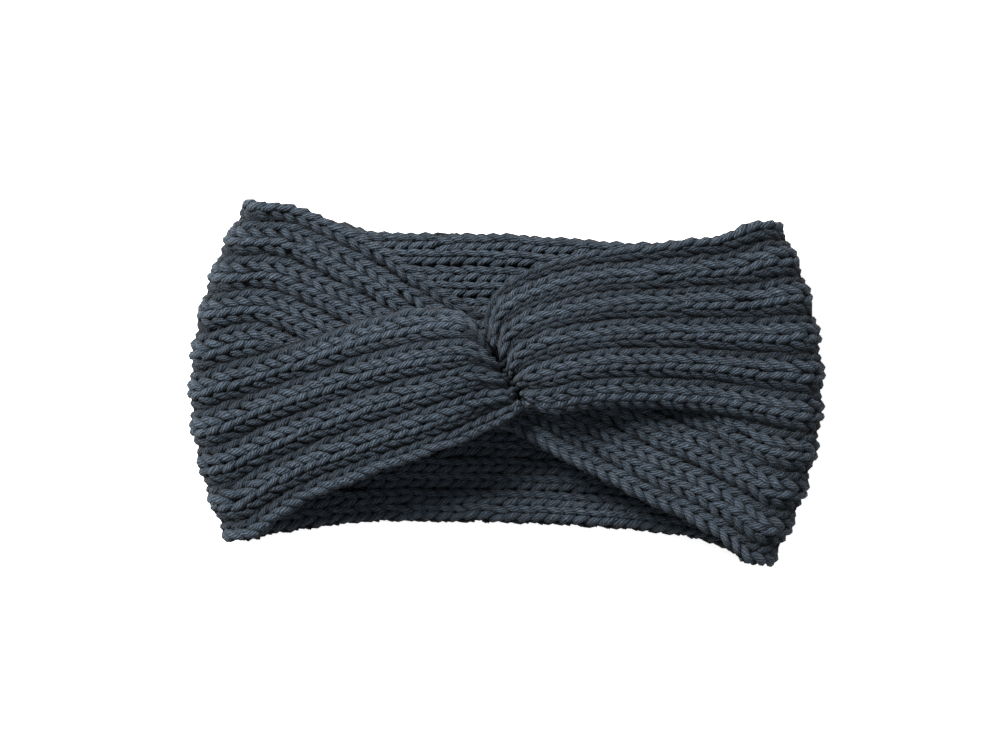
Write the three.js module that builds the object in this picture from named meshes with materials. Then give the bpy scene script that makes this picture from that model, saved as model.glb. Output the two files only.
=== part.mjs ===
// Knitted ear warmer headband with a front twist, lying flat as a closed loop.
// One ribbed strip goes round the back of the head. Its two ends come to the front, are folded
// lengthwise, crossed over each other and sewn together in a short crease.
// Millimetres. X runs along the band, Y up its front, +Z away from the surface that it lies on.
// The origin is at the middle of the underside.
import * as THREE from 'three';

// Overall sizes
const BAND_LENGTH = 220; // lying flat, over both side folds
const STRIP_WIDTH = 117; // from one free edge of the knit to the other
const KNIT_WALL = 7; // over the ribs of both faces
const RIB_DEPTH = 2.5; // from the crest of a rib to the valley beside it
const RIB_COUNT = 9; // rib pitches across the strip, with half a rib at each edge
const RIB_FLAT = 0.56; // share of a pitch that the flat crest of a rib takes
const HEAD_GAP = 8; // the hollow between the back layer and the front
const LAYER_PITCH = 7; // from one layer of the folded twist to the next
const SIDE_BOW = 16; // how far the side folds draw in towards the free edges
const LEFT_BOW_RISE = -6.5; // from the middle of the knit up to where the left fold is furthest out
const RIGHT_BOW_RISE = 2; // the same at the right fold
const FOLD_ROOM = 0.55; // share of a fold's radius that the wall fills on its inner side

// The crease where the two ends are sewn together, seen from the front
const CREASE_TOP_X = -4.5;
const CREASE_TOP_Y = 12;
const CREASE_FOOT_X = 6;
const CREASE_FOOT_Y = -7;
const SEAM_LENGTH = 12.6;
const SEAM_THICKNESS = 2.4;
const SEAM_HEIGHT = 5.5;
const CLEARANCE = 0.3; // between the seam and each end of the strip

// How finely the surface is divided
const FACETS_BETWEEN_SECTIONS = 2;
const SECTION_SAMPLES = 120;

// Worked out from the sizes above
const HALF_LENGTH = BAND_LENGTH / 2;
const BACK_LEVEL = KNIT_WALL / 2;
const FRONT_LEVEL = KNIT_WALL + HEAD_GAP + KNIT_WALL / 2;
const SIDE_RADIUS = (FRONT_LEVEL - BACK_LEVEL) / 2;
const SIDE_LEVEL = (FRONT_LEVEL + BACK_LEVEL) / 2;
const CREASE_TOP = new THREE.Vector2(CREASE_TOP_X, CREASE_TOP_Y);
const CREASE_FOOT = new THREE.Vector2(CREASE_FOOT_X, CREASE_FOOT_Y);

// Guides that a section passes through, from its near edge to its far edge, as shares of the
// width of a flat strip. The crest is the rib that the strip is folded along.
const LEFT_GUIDES = { lobe: 0.2, brow: 0.4, crest: 0.5, valley: 0.6, foot: 0.72 };
const RIGHT_GUIDES = { lobe: 0.25, brow: 0.5, crest: 0.61, valley: 0.7, foot: 0.8 };

// Front sections from the side fold to the crease. Along the band, places are shares of half its
// length. Across it they are shares of the strip's width. The near half is the lobe on top of
// the twist. The far half goes down at the crest, is tucked under it and comes out behind.
// lift: how far the lobe has risen, in layers of the fold. wall: share of the full knit wall.
// bow: share of the side fold's bow that the section still has.
const COLUMNS = ['x', 'near', 'crest', 'far', 'nearShift', 'farShift', 'tuck', 'lift', 'wall', 'bow'];
const LEFT_FRONT = [
  [-0.900, -0.450, 0.051, 0.526, 0, 0, -0.085, 0.00, 1.00, 1.00],
  [-0.780, -0.388, 0.080, 0.515, 0, 0, -0.080, 0.18, 0.98, 0.85],
  [-0.620, -0.325, 0.122, 0.480, 0, 0, -0.050, 0.60, 0.92, 0.50],
  [-0.450, -0.272, 0.176, 0.420, 0, 0, 0.012, 1.15, 0.84, 0.22],
  [-0.310, -0.222, 0.205, 0.348, 0.010, 0, 0.058, 1.60, 0.77, 0.06],
  [-0.200, -0.172, 0.208, 0.280, 0.045, -0.005, 0.072, 1.85, 0.70, 0.00],
  [-0.125, -0.125, 0.186, 0.228, 0.075, 0.005, 0.055, 1.95, 0.66, 0.00],
];
const RIGHT_FRONT = [
  [0.900, 0.468, -0.140, -0.524, 0, 0, -0.075, 0.00, 1.00, 1.00],
  [0.780, 0.436, -0.112, -0.460, 0, 0, -0.070, 0.18, 0.98, 0.85],
  [0.620, 0.418, -0.083, -0.402, 0, 0, -0.045, 0.60, 0.92, 0.50],
  [0.450, 0.398, -0.067, -0.342, 0, 0, 0.010, 1.15, 0.84, 0.22],
  [0.310, 0.384, -0.063, -0.280, -0.008, 0, 0.052, 1.60, 0.77, 0.06],
  [0.205, 0.357, -0.072, -0.228, -0.045, -0.020, 0.065, 1.85, 0.70, 0.00],
  [0.150, 0.315, -0.082, -0.172, -0.110, -0.065, 0.052, 1.95, 0.66, 0.00],
  [0.118, 0.240, -0.072, -0.130, -0.168, -0.118, 0.020, 1.90, 0.62, 0.00],
];

// The ends of the strip turn down into the crease. Places are shares of the crease's length: along
// runs up it from its middle, off is the distance from where the strip lies against the seam, and
// across is the distance to the right of the crease. Height is in layers above the front.
const END_COLUMNS = ['nearAlong', 'nearOff', 'nearHeight', 'crestAlong', 'crestOff',
  'crestHeight', 'farAlong', 'farAcross', 'farHeight', 'wall'];
const LEFT_END = [
  [-0.47, 0.05, 1.30, 0.46, 0.05, 1.55, 0.87, 0.18, 0.00, 0.56],
  [-0.46, 0.00, 0.75, 0.43, 0.00, 0.85, 0.56, 0.41, 0.00, 0.52],
];
const RIGHT_END = [
  [0.78, -0.08, 1.25, -0.46, 0.03, 1.55, -0.52, -0.58, 0.00, 0.56],
  [0.46, 0.00, 0.75, -0.43, 0.00, 0.85, -0.23, -0.69, 0.00, 0.52],
];

// Back layer, from left to right: places of the section and its lower and upper free edges
const BACK_COLUMNS = ['x', 'low', 'high', 'bow'];
const BACK_LAYER = [
  [-0.900, -0.456, 0.526, 1.00],
  [-0.850, -0.444, 0.516, 0.94],
  [-0.700, -0.426, 0.488, 0.73],
  [-0.450, -0.405, 0.446, 0.30],
  [0.000, -0.408, 0.436, 0.00],
  [0.450, -0.430, 0.412, 0.30],
  [0.700, -0.458, 0.424, 0.73],
  [0.850, -0.498, 0.448, 0.94],
  [0.900, -0.522, 0.466, 1.00],
];
const SIDE_ANGLES = [64, 30, 0, -30, -64]; // round a side fold, from the front to the back

const named = (columns, rows) =>
  rows.map((row) => Object.fromEntries(columns.map((name, i) => [name, row[i]])));

const middleOf = (a, b) => (a + b) / 2;

// How far the fold at one side is drawn in at a height on the band, where the knit's middle is at
// centreY
function bowAt(y, centreY, outward) {
  const rise = outward < 0 ? LEFT_BOW_RISE : RIGHT_BOW_RISE;
  return SIDE_BOW * ((y - centreY - rise) / (STRIP_WIDTH / 2)) ** 2;
}

// A section stays a curve through its guides until the strip is divided
function makeSection(points, crestIndex, crestShare, wall, nearIsLow) {
  const curve = new THREE.CatmullRomCurve3(points, false, 'centripetal');
  const samples = curve.getPoints(SECTION_SAMPLES);
  const lengths = [0];
  for (let i = 1; i < samples.length; i += 1) {
    lengths.push(lengths[i - 1] + samples[i].distanceTo(samples[i - 1]));
  }
  const crestSample = Math.round((SECTION_SAMPLES * crestIndex) / (points.length - 1));
  return { samples, lengths, crestLength: lengths[crestSample], crestShare, wall, nearIsLow };
}

// The point of a section at a share of the strip's width from its lower free edge. The ribs are
// spaced evenly on each side of the crest.
function onSection(section, share) {
  const fromNear = section.nearIsLow ? share : 1 - share;
  const total = section.lengths.at(-1);
  const target = fromNear <= section.crestShare
    ? (section.crestLength * fromNear) / section.crestShare
    : section.crestLength
      + ((total - section.crestLength) * (fromNear - section.crestShare)) / (1 - section.crestShare);
  let i = 1;
  while (i < section.lengths.length - 1 && section.lengths[i] < target) i += 1;
  const step = section.lengths[i] - section.lengths[i - 1];
  const part = (target - section.lengths[i - 1]) / step;
  return section.samples[i - 1].clone().lerp(section.samples[i], part);
}

// A section of the front, with the fold that the row asks for
function frontSection(row, guides, nearIsLow) {
  const outward = Math.sign(row.x);
  const near = row.near * STRIP_WIDTH;
  const crest = row.crest * STRIP_WIDTH;
  const far = row.far * STRIP_WIDTH;
  const away = Math.sign(far - near);
  const valley = crest - away * row.tuck * STRIP_WIDTH;
  const foot = THREE.MathUtils.lerp(valley, far, (guides.foot - guides.valley) / (1 - guides.valley));
  const lobe = THREE.MathUtils.lerp(near, crest, guides.lobe / guides.crest);
  const brow = THREE.MathUtils.lerp(near, crest, guides.brow / guides.crest);
  const rise = row.lift * LAYER_PITCH;
  const heights = [rise * 0.5, rise * 0.86, rise * 1.04, rise * 0.8, rise * 0.22, 0, 0];
  const across = [near, lobe, brow, crest, valley, foot, far];
  const shifts = [row.nearShift, row.nearShift * 0.6, row.nearShift * 0.15, 0, 0,
    row.farShift * 0.4, row.farShift];
  const centreY = middleOf(near, far);
  const points = across.map((y, i) => new THREE.Vector3(
    (row.x + shifts[i]) * HALF_LENGTH - outward * row.bow * bowAt(y, centreY, outward),
    y,
    FRONT_LEVEL + heights[i],
  ));
  return makeSection(points, 3, guides.crest, row.wall, nearIsLow);
}

// A section where the strip turns down into the crease
function endSection(row, guides, nearIsLow) {
  const length = CREASE_TOP.distanceTo(CREASE_FOOT);
  const side = nearIsLow ? -1 : 1;
  const seat = (SEAM_THICKNESS / 2 + CLEARANCE + (KNIT_WALL / 2) * row.wall) / length;
  const middle = CREASE_TOP.clone().add(CREASE_FOOT).multiplyScalar(0.5);
  const up = CREASE_TOP.clone().sub(CREASE_FOOT);
  const right = new THREE.Vector2(up.y, -up.x);
  const place = (along, across, layers) => {
    const flat = middle.clone().addScaledVector(up, along).addScaledVector(right, across);
    return new THREE.Vector3(flat.x, flat.y, FRONT_LEVEL + layers * LAYER_PITCH);
  };
  const near = place(row.nearAlong, side * (seat + row.nearOff), row.nearHeight);
  const crest = place(row.crestAlong, side * (seat + row.crestOff), row.crestHeight);
  const far = place(row.farAlong, row.farAcross, row.farHeight);
  const between = (share, bulge) => place(
    THREE.MathUtils.lerp(row.nearAlong, row.crestAlong, share / guides.crest),
    side * (seat + row.crestOff),
    THREE.MathUtils.lerp(row.nearHeight, row.crestHeight, bulge),
  );
  const lobe = between(guides.lobe, 0.75);
  const brow = between(guides.brow, 1.05);
  const valley = crest.clone().lerp(far, 0.3);
  const foot = crest.clone().lerp(far, 0.65);
  valley.z = THREE.MathUtils.lerp(crest.z, far.z, 0.55);
  foot.z = THREE.MathUtils.lerp(crest.z, far.z, 0.92);
  return makeSection([near, lobe, brow, crest, valley, foot, far], 3, guides.crest, row.wall, nearIsLow);
}

// A flat or turning section, from the lower free edge to the upper one. Angle 90 is on the front
// layer and -90 on the back one.
function plainSection(x, low, high, bow, angle, outward) {
  const turn = THREE.MathUtils.degToRad(angle);
  const centreY = middleOf(low, high);
  const count = 7;
  const points = [];
  for (let i = 0; i < count; i += 1) {
    const y = THREE.MathUtils.lerp(low, high, i / (count - 1));
    points.push(new THREE.Vector3(
      x - outward * bow * bowAt(y, centreY, outward) + outward * SIDE_RADIUS * Math.cos(turn),
      y,
      SIDE_LEVEL + SIDE_RADIUS * Math.sin(turn),
    ));
  }
  return makeSection(points, (count - 1) / 2, 0.5, 1, true);
}

// The turn between the front and the back layer at one side
function sideFold(front, back, outward) {
  const frontEdges = [front.near, front.far].sort((a, b) => a - b);
  return SIDE_ANGLES.map((angle) => {
    const share = (90 - angle) / 180;
    return plainSection(
      outward * (HALF_LENGTH - KNIT_WALL / 2 - SIDE_RADIUS),
      THREE.MathUtils.lerp(frontEdges[0], back.low, share) * STRIP_WIDTH,
      THREE.MathUtils.lerp(frontEdges[1], back.high, share) * STRIP_WIDTH,
      1,
      angle,
      outward,
    );
  });
}

// Every section of the strip, from its left end round the back to its right end
function stripSections() {
  const left = named(COLUMNS, LEFT_FRONT);
  const right = named(COLUMNS, RIGHT_FRONT);
  const back = named(BACK_COLUMNS, BACK_LAYER);
  const leftFold = sideFold(left[0], back[0], -1);
  const rightFold = sideFold(right[0], back.at(-1), 1);
  const backLayer = back.map((row) => plainSection(
    row.x * HALF_LENGTH,
    row.low * STRIP_WIDTH,
    row.high * STRIP_WIDTH,
    row.bow,
    -90,
    Math.sign(row.x),
  ));
  return [
    ...named(END_COLUMNS, LEFT_END).map((row) => endSection(row, LEFT_GUIDES, true)).reverse(),
    ...left.map((row) => frontSection(row, LEFT_GUIDES, true)).reverse(),
    ...leftFold,
    ...backLayer,
    ...rightFold.reverse(),
    ...right.map((row) => frontSection(row, RIGHT_GUIDES, false)),
    ...named(END_COLUMNS, RIGHT_END).map((row) => endSection(row, RIGHT_GUIDES, false)),
  ];
}

// Shares of the width where a face has a corner, with its height from the middle of the wall:
// flat crests, with one line in each valley. The ribs of the inner face lie between the outer ones.
function ribCorners(shift) {
  const corners = [];
  for (let rib = -1; rib <= RIB_COUNT; rib += 1) {
    const centre = rib + shift;
    corners.push([centre - RIB_FLAT / 2, true], [centre + RIB_FLAT / 2, true], [centre + 0.5, false]);
  }
  const inside = corners.filter(([at]) => at > 0 && at < RIB_COUNT);
  const edgeIsCrest = shift === 0;
  return [[0, edgeIsCrest], ...inside, [RIB_COUNT, edgeIsCrest]].map(([at, isCrest]) => ({
    share: at / RIB_COUNT,
    height: isCrest ? KNIT_WALL / 2 : KNIT_WALL / 2 - RIB_DEPTH,
  }));
}

// How sharply a curve bends towards a normal, from a point of it and one on each side
function bendTowards(normal, before, point, after) {
  const turn = before.clone().add(after).addScaledVector(point, -2);
  return (4 * turn.dot(normal)) / after.distanceToSquared(before);
}

// Lines along the strip at one share of its width, the outward normals there and how sharply the
// surface bends towards the outside, across the strip and along it
function lineAlong(sections, share) {
  const width = 0.5 / RIB_COUNT;
  const curveAt = (at) => new THREE.CatmullRomCurve3(
    sections.map((section) => onSection(section, THREE.MathUtils.clamp(at, 0, 1))),
    false,
    'centripetal',
  );
  const lower = curveAt(share - width);
  const middle = curveAt(share);
  const upper = curveAt(share + width);
  const count = (sections.length - 1) * FACETS_BETWEEN_SECTIONS;
  const pace = 0.5 / (sections.length - 1);
  const line = [];
  for (let i = 0; i <= count; i += 1) {
    const t = i / count;
    const place = Math.min(Math.floor(t * (sections.length - 1)), sections.length - 2);
    const part = t * (sections.length - 1) - place;
    const [low, point, high] = [lower, middle, upper].map((curve) => curve.getPoint(t));
    const normal = high.clone().sub(low).cross(middle.getTangent(t)).normalize();
    const centre = THREE.MathUtils.clamp(t, pace, 1 - pace);
    const [before, here, after] = [-pace, 0, pace].map((step) => middle.getPoint(centre + step));
    line.push({
      point,
      normal,
      bends: [bendTowards(normal, low, point, high), bendTowards(normal, before, here, after)],
      wall: THREE.MathUtils.lerp(sections[place].wall, sections[place + 1].wall, part),
    });
  }
  return line;
}

// The corner of a face at a station. The knit is squeezed on the inner side of a tight fold.
function cornerPoint(station, corner) {
  const inward = Math.max(...station.bends.map((bend) => bend * corner.side));
  const room = inward > 0 ? FOLD_ROOM / inward : Infinity;
  const height = Math.min(corner.height * station.wall, room);
  return station.point.addScaledVector(station.normal, corner.side * height);
}

// One closed body: the outer face, the inner face, both free edges and both ends
function knitBandGeometry() {
  const sections = stripSections();
  const outer = ribCorners(0).map((corner) => ({ ...corner, side: 1 }));
  const inner = ribCorners(0.5).map((corner) => ({ ...corner, side: -1 }));
  const ring = [...outer, ...[...inner].reverse()];
  const lines = ring.map((corner) => lineAlong(sections, corner.share)
    .map((station) => cornerPoint(station, corner)));
  const stations = lines[0].length;
  const positions = [];
  for (let i = 0; i < stations; i += 1) {
    for (const line of lines) positions.push(...line[i].toArray());
  }
  const index = [];
  const count = ring.length;
  for (let i = 0; i < stations - 1; i += 1) {
    for (let j = 0; j < count; j += 1) {
      const a = i * count + j;
      const b = i * count + ((j + 1) % count);
      index.push(a, b, a + count, b, b + count, a + count);
    }
  }
  for (const [station, flip] of [[0, true], [stations - 1, false]]) {
    for (const face of endCap(outer, inner)) {
      const [a, b, c] = face.map((corner) => station * count + corner);
      index.push(a, flip ? c : b, flip ? b : c);
    }
  }
  const geometry = new THREE.BufferGeometry();
  geometry.setAttribute('position', new THREE.Float32BufferAttribute(positions, 3));
  geometry.setIndex(index);
  geometry.computeVertexNormals();
  return geometry;
}

// Triangles between the outer and the inner corners of an end, taken in order of their shares
function endCap(outer, inner) {
  const innerIndex = (k) => outer.length + inner.length - 1 - k;
  const faces = [];
  let i = 0;
  let k = 0;
  while (i < outer.length - 1 || k < inner.length - 1) {
    const outerNext = i < outer.length - 1 ? outer[i + 1].share : Infinity;
    const innerNext = k < inner.length - 1 ? inner[k + 1].share : Infinity;
    if (outerNext <= innerNext) {
      faces.push([i, i + 1, innerIndex(k)]);
      i += 1;
    } else {
      faces.push([i, innerIndex(k + 1), innerIndex(k)]);
      k += 1;
    }
  }
  return faces;
}

// The sewn seam stands in the crease between the two turned-down ends
function seamGeometry() {
  const length = SEAM_LENGTH - SEAM_THICKNESS;
  const radius = SEAM_THICKNESS / 2;
  const outline = new THREE.Shape();
  outline.absarc(length / 2, 0, radius, -Math.PI / 2, Math.PI / 2, false);
  outline.absarc(-length / 2, 0, radius, Math.PI / 2, (3 * Math.PI) / 2, false);
  return new THREE.ExtrudeGeometry(outline, { depth: SEAM_HEIGHT, bevelEnabled: false, curveSegments: 6 });
}

const knit = new THREE.MeshStandardMaterial({ color: 0x3a4653, roughness: 0.95, metalness: 0 });
const sewingYarn = new THREE.MeshStandardMaterial({ color: 0x2f3a46, roughness: 0.95, metalness: 0 });

const headband = new THREE.Group();

const knitBand = new THREE.Mesh(knitBandGeometry(), knit);
knitBand.name = 'knit_band';
headband.add(knitBand);

const twistSeam = new THREE.Mesh(seamGeometry(), sewingYarn);
twistSeam.name = 'twist_seam';
const creaseLine = CREASE_TOP.clone().sub(CREASE_FOOT);
twistSeam.rotation.z = Math.atan2(creaseLine.y, creaseLine.x);
twistSeam.position.set(
  middleOf(CREASE_TOP.x, CREASE_FOOT.x),
  middleOf(CREASE_TOP.y, CREASE_FOOT.y),
  FRONT_LEVEL + LAYER_PITCH / 2,
);
headband.add(twistSeam);

export default headband;
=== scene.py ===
"""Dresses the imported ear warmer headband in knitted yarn, and sets the studio round it."""

import logging
import math
from dataclasses import dataclass, field
from enum import Enum

import bpy
import numpy as np
from bpy.types import Material, Node, NodeSocket, Object, ShaderNodeTree
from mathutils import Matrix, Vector


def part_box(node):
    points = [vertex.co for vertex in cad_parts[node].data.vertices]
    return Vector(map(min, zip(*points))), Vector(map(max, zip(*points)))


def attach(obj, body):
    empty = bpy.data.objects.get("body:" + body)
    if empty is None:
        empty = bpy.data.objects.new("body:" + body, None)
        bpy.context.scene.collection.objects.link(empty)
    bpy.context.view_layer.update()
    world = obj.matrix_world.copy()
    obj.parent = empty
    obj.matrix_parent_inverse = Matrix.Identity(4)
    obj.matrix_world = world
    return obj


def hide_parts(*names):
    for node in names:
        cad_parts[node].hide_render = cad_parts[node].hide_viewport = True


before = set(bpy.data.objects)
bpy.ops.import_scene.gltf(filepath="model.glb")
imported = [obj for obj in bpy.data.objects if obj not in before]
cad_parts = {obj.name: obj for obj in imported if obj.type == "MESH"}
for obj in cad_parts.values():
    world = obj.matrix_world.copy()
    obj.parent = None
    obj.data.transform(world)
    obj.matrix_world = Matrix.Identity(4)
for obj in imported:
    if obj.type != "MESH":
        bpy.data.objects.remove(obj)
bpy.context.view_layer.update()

log = logging.getLogger("headband")
MM = 0.001
TINY = 1e-12  # keeps a division by a length from failing
Colour = tuple[float, float, float, float]


class Face(Enum):
    """The two faces of the knit, by the side of the wall that each lies on."""

    OUTER = 1
    INNER = -1


@dataclass(frozen=True)
class StripSizes:
    """The driving sizes of the knitted strip, in metres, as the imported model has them.

    Only drawn_gap is the scene's own: it is how close the two ends are drawn in the crease.
    """

    band_length: float = 220 * MM
    strip_width: float = 117 * MM
    knit_wall: float = 7 * MM
    head_gap: float = 8 * MM
    layer_pitch: float = 7 * MM
    side_bow: float = 16 * MM
    left_bow_rise: float = -6.5 * MM
    right_bow_rise: float = 2 * MM
    fold_room: float = 0.55
    seam_thickness: float = 2.4 * MM
    drawn_gap: float = 1.2 * MM
    crease_top: tuple[float, float] = (-4.5 * MM, 12 * MM)
    crease_foot: tuple[float, float] = (6 * MM, -7 * MM)

    @property
    def back_level(self) -> float:
        """Height of the middle of the back layer's wall."""
        return self.knit_wall / 2

    @property
    def front_level(self) -> float:
        """Height of the middle of the front layer's wall, where it lies flat."""
        return self.knit_wall + self.head_gap + self.knit_wall / 2

    @property
    def side_radius(self) -> float:
        """Radius of a side fold, at the middle of the wall."""
        return (self.front_level - self.back_level) / 2

    @property
    def side_level(self) -> float:
        """Height of the middle of a side fold."""
        return (self.front_level + self.back_level) / 2


@dataclass(frozen=True)
class Guides:
    """Shares of the strip's width, from its near edge, at which a front section is guided."""

    lobe: float
    brow: float
    crest: float
    valley: float
    foot: float


# The tables hold shares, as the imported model's own: x of half the band's length, places across
# of the strip's width, lift in layers of the fold, wall and bow of their full sizes. The scene adds
# the last two columns: pleat is how much of the surplus width is laid in the fold under the lobe,
# and relief is how deep the valleys between the ribs stay beyond the crest.
FRONT_COLUMNS = "x near crest far near_shift far_shift tuck lift wall bow pleat relief".split()
LEFT_FRONT = (
    (-0.900, -0.450, 0.051, 0.526, 0, 0, -0.085, 0.00, 1.00, 1.00, 0.4, 0.80),
    (-0.780, -0.388, 0.080, 0.515, 0, 0, -0.080, 0.18, 0.98, 0.85, 0.7, 0.45),
    (-0.620, -0.325, 0.122, 0.480, 0, 0, -0.050, 0.60, 0.92, 0.50, 0.9, 0.30),
    (-0.450, -0.272, 0.176, 0.420, 0, 0, 0.012, 1.15, 0.84, 0.22, 1.0, 0.30),
    (-0.310, -0.222, 0.205, 0.348, 0.010, 0, 0.058, 1.60, 0.77, 0.06, 1.0, 0.30),
    (-0.200, -0.172, 0.208, 0.280, 0.045, -0.005, 0.072, 1.85, 0.70, 0.00, 0.9, 0.40),
    (-0.125, -0.125, 0.186, 0.228, 0.075, 0.005, 0.055, 1.95, 0.66, 0.00, 0.7, 0.40),
)
RIGHT_FRONT = (
    (0.900, 0.468, -0.140, -0.524, 0, 0, -0.075, 0.00, 1.00, 1.00, 0.4, 0.85),
    (0.780, 0.436, -0.112, -0.460, 0, 0, -0.070, 0.18, 0.98, 0.85, 0.7, 0.50),
    (0.620, 0.418, -0.083, -0.402, 0, 0, -0.045, 0.60, 0.92, 0.50, 0.9, 0.35),
    (0.450, 0.398, -0.067, -0.342, 0, 0, 0.010, 1.15, 0.84, 0.22, 1.0, 0.30),
    (0.310, 0.384, -0.063, -0.280, -0.008, 0, 0.052, 1.60, 0.77, 0.06, 1.0, 0.40),
    (0.205, 0.357, -0.072, -0.228, -0.045, -0.020, 0.065, 1.85, 0.70, 0.00, 0.9, 0.40),
    (0.150, 0.315, -0.082, -0.172, -0.110, -0.065, 0.052, 1.95, 0.66, 0.00, 0.8, 0.40),
    (0.118, 0.240, -0.072, -0.130, -0.168, -0.118, 0.020, 1.90, 0.62, 0.00, 0.7, 0.40),
)
END_COLUMNS = (
    "near_along near_off near_height crest_along crest_off crest_height "
    "far_along far_across far_height wall"
).split()
LEFT_END = (
    (-0.56, 0.05, 1.30, 0.60, 0.05, 1.55, 0.90, 0.18, 0.00, 0.56),
    (-0.52, 0.00, 0.75, 0.50, 0.00, 0.85, 0.60, 0.41, 0.00, 0.52),
)
RIGHT_END = (
    (0.80, -0.08, 1.25, -0.58, 0.03, 1.55, -0.60, -0.58, 0.00, 0.56),
    (0.52, 0.00, 0.75, -0.50, 0.00, 0.85, -0.30, -0.69, 0.00, 0.52),
)
BACK_COLUMNS = "x low high bow".split()
BACK_LAYER = (
    (-0.900, -0.456, 0.526, 1.00),
    (-0.850, -0.444, 0.516, 0.94),
    (-0.700, -0.426, 0.488, 0.73),
    (-0.450, -0.405, 0.446, 0.30),
    (0.000, -0.408, 0.436, 0.00),
    (0.450, -0.430, 0.412, 0.30),
    (0.700, -0.458, 0.424, 0.73),
    (0.850, -0.498, 0.448, 0.94),
    (0.900, -0.522, 0.466, 1.00),
)
SIDE_ANGLES = (64, 30, 0, -30, -64)

# A front section has seven guide points, from its near edge to its far one. Here are their heights
# as shares of the lift, and how far each goes along with the near and the far shift.
LOBE_HEIGHTS = (0.5, 0.86, 1.04, 0.8, 0.22, 0, 0)
NEAR_SHIFTS = (1, 0.6, 0.15, 0, 0, 0, 0)
FAR_SHIFTS = (0, 0, 0, 0, 0, 0.4, 1)

# Where an end turns down into the crease: how high the lobe and the brow stand between near edge
# and crest, and how far the valley and the foot lie from crest to far edge, flat and in height.
END_LOBE, END_BROW = 0.75, 1.05
END_VALLEY, END_FOOT = (0.3, 0.55), (0.65, 0.92)


def named(columns: list[str], rows: tuple) -> list[dict[str, float]]:
    """Gives each row of a table its column names."""
    return [dict(zip(columns, row)) for row in rows]


def mix(a: float, b: float, share: float) -> float:
    """Goes a share of the way from one number or point to another."""
    return a + (b - a) * share


def norm(vectors: np.ndarray) -> np.ndarray:
    """Lengths of vectors, kept as a last axis of one, and never quite 0."""
    return np.maximum(np.linalg.norm(vectors, axis=-1, keepdims=True), TINY)


def through(points: np.ndarray, at: np.ndarray) -> np.ndarray:
    """Follows centripetal Catmull-Rom curves through rows of points.

    Args:
        points: one row of points for each knot of the curves, shaped (knots, curves, 3).
        at: where to read each curve, counted in knots from 0, shaped (places, curves).

    Returns:
        The points, shaped (places, curves, 3).
    """
    knots = np.concatenate([2 * points[:1] - points[1:2], points, 2 * points[-1:] - points[-2:-1]])
    place = np.clip(np.floor(at).astype(int), 0, len(points) - 2)
    part = (at - place)[..., None]
    curves = np.arange(points.shape[1])
    p0, p1, p2, p3 = (knots[place + i, curves] for i in range(4))

    def pace(a: np.ndarray, b: np.ndarray) -> np.ndarray:
        """The knot spacing between two rows of points."""
        return norm(b - a) ** 0.5

    d0, d1, d2 = pace(p0, p1), pace(p1, p2), pace(p2, p3)
    start = ((p1 - p0) / d0 - (p2 - p0) / (d0 + d1) + (p2 - p1) / d1) * d1
    end = ((p2 - p1) / d1 - (p3 - p1) / (d1 + d2) + (p3 - p2) / d2) * d1
    bend = 3 * (p2 - p1) - 2 * start - end
    close = 2 * (p1 - p2) + start + end
    return p1 + start * part + bend * part**2 + close * part**3


@dataclass
class Section:
    """One section across the strip: points along a curve, and where its crest lies."""

    points: np.ndarray
    crest_share: float
    wall: float
    near_is_low: bool
    far_relief: float = 1
    crest_knot: int = 3
    samples: int = 120
    relief_fade: float = 0.15
    line: np.ndarray = field(init=False)
    lengths: np.ndarray = field(init=False)

    def __post_init__(self) -> None:
        """Follows the curve once, with its length from the near edge."""
        knots = len(self.points) - 1
        at = np.linspace(0, knots, self.samples + 1)[:, None]
        self.line = through(self.points[:, None, :], at)[:, 0]
        steps = np.linalg.norm(np.diff(self.line, axis=0), axis=1)
        self.lengths = np.concatenate([[0], np.cumsum(steps)])

    def relief(self, shares: np.ndarray) -> np.ndarray:
        """How deep the valleys are, as a share of their full depth.

        Args:
            shares: places across the strip, from its lower free edge, 0 to 1.

        Returns:
            The depths there.
        """
        from_near = shares if self.near_is_low else 1 - shares
        beyond = np.clip((from_near - self.crest_share) / self.relief_fade + 0.5, 0, 1)
        return mix(1.0, self.far_relief, beyond)

    def at(self, shares: np.ndarray) -> np.ndarray:
        """Reads the section, with even ribs on each side of the crest.

        Args:
            shares: places across the strip, from its lower free edge, 0 to 1.

        Returns:
            The points, shaped (len(shares), 3).
        """
        from_near = shares if self.near_is_low else 1 - shares
        crest_sample = round(self.samples * self.crest_knot / (len(self.points) - 1))
        crest_length = self.lengths[crest_sample]
        target = np.interp(
            from_near, [0, self.crest_share, 1], [0, crest_length, self.lengths[-1]]
        )
        return np.stack([np.interp(target, self.lengths, self.line[:, k]) for k in range(3)], axis=1)


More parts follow.
